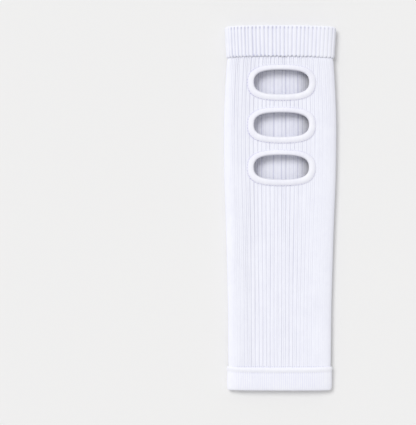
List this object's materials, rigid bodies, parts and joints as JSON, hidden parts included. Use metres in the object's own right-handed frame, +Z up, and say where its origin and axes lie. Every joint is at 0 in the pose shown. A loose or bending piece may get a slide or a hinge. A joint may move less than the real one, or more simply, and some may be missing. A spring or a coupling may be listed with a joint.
{
  "type": "ribbed knit cut resistant sleeve with windows",
  "caption": "Ribbed knit tubular sleeve for the forearm or calf, laid flat, with a doubled cuff, a doubled hem and bound oval windows along its upper face.",
  "frame": {"origin": "on the surface that the sleeve rests on, below the middle of its length and width", "axes": "+Y along the sleeve towards its welted end, +X across it, +Z up through the windowed face"},
  "size_m": [0.0992, 0.329, 0.0145],
  "materials": {
    "rib_knit": "matt ribbed knit",
    "welt_knit": "matt ribbed knit, doubled",
    "hem_knit": "soft fine knit, doubled",
    "binding_knit": "soft folded tape with a slight sheen"
  },
  "bodies": {
    "root": {"knit_body": "rib_knit", "top_welt": "welt_knit", "hem_band": "hem_knit", "window_binding_1": "binding_knit", "window_binding_2": "binding_knit", "window_binding_3": "binding_knit"}
  },
  "joints": []
}
